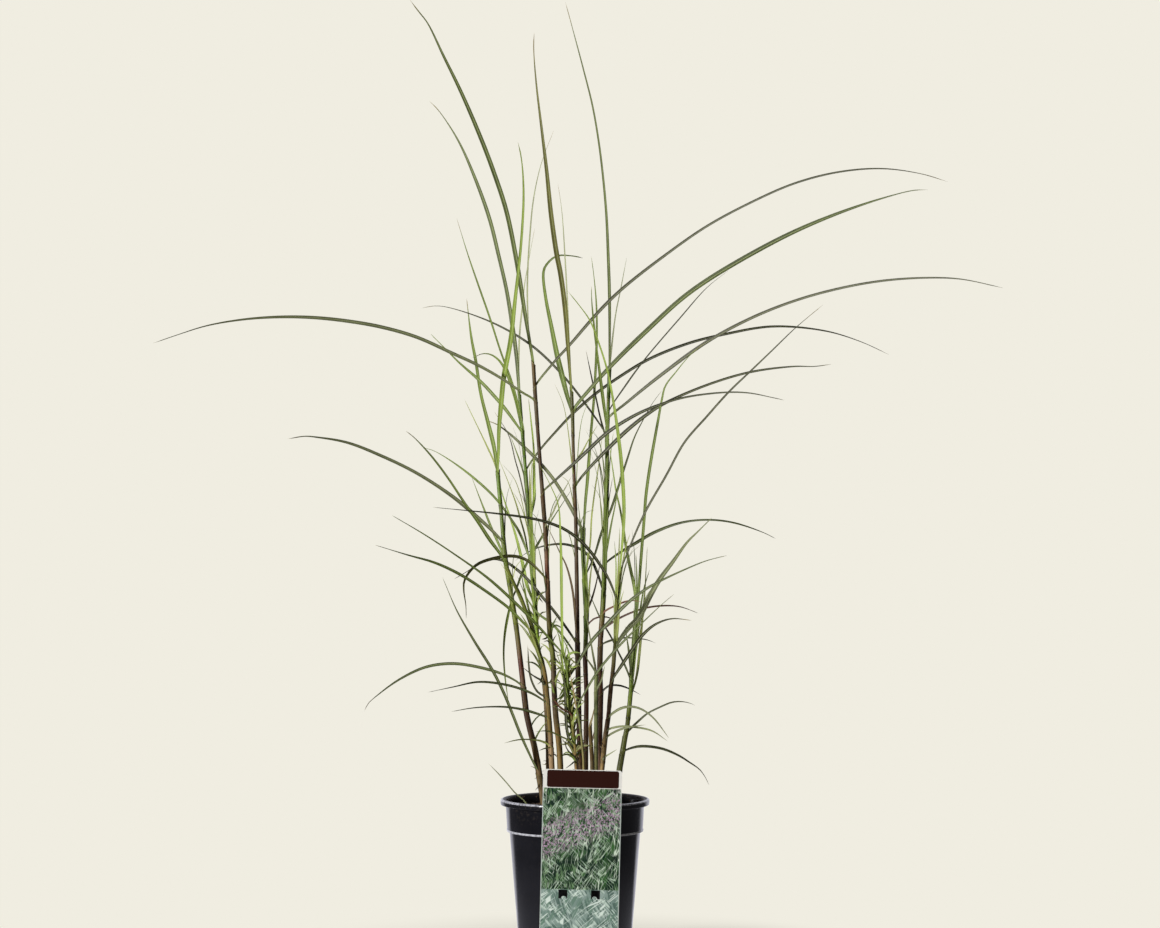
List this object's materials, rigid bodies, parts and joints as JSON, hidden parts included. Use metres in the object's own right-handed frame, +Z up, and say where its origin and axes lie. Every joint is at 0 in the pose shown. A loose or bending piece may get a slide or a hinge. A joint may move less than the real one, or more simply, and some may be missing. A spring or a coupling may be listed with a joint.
{
  "type": "potted ornamental grass",
  "caption": "Clump of tall, arching variegated grass shoots standing in soil in a round black nursery pot, with a picture card hooked over the rim.",
  "frame": {"origin": "centre of the flat underside of the pot", "axes": "+Z up, -Y towards the side with the card, +X to the right as seen from that side"},
  "size_m": [0.9369, 0.782, 1.1344],
  "materials": {
    "pot": "glossy black",
    "soil": "damp crumbly compost",
    "label": "coated printed card",
    "stem_far_left": "satin grass leaf and culm",
    "stem_left_front": "satin grass leaf and culm",
    "stem_left_back": "satin grass leaf and culm",
    "stem_tall_purple": "satin grass leaf and culm",
    "stem_front_olive": "satin grass leaf and culm",
    "stem_front_tan": "satin grass leaf and culm",
    "stem_centre_dark": "satin grass leaf and culm",
    "stem_centre_back": "satin grass leaf and culm",
    "stem_back_short": "satin grass leaf and culm",
    "stem_front_short": "satin grass leaf and culm",
    "stem_right_tall": "satin grass leaf and culm",
    "stem_right_brown": "satin grass leaf and culm",
    "stem_far_right": "satin grass leaf and culm",
    "stem_rim_left": "satin grass leaf and culm"
  },
  "bodies": {
    "root": {"pot": "pot", "soil": "soil", "label": "label", "stem_far_left": "stem_far_left", "stem_left_front": "stem_left_front", "stem_left_back": "stem_left_back", "stem_tall_purple": "stem_tall_purple", "stem_front_olive": "stem_front_olive", "stem_front_tan": "stem_front_tan", "stem_centre_dark": "stem_centre_dark", "stem_centre_back": "stem_centre_back", "stem_back_short": "stem_back_short", "stem_front_short": "stem_front_short", "stem_right_tall": "stem_right_tall", "stem_right_brown": "stem_right_brown", "stem_far_right": "stem_far_right", "stem_rim_left": "stem_rim_left"}
  },
  "joints": []
}
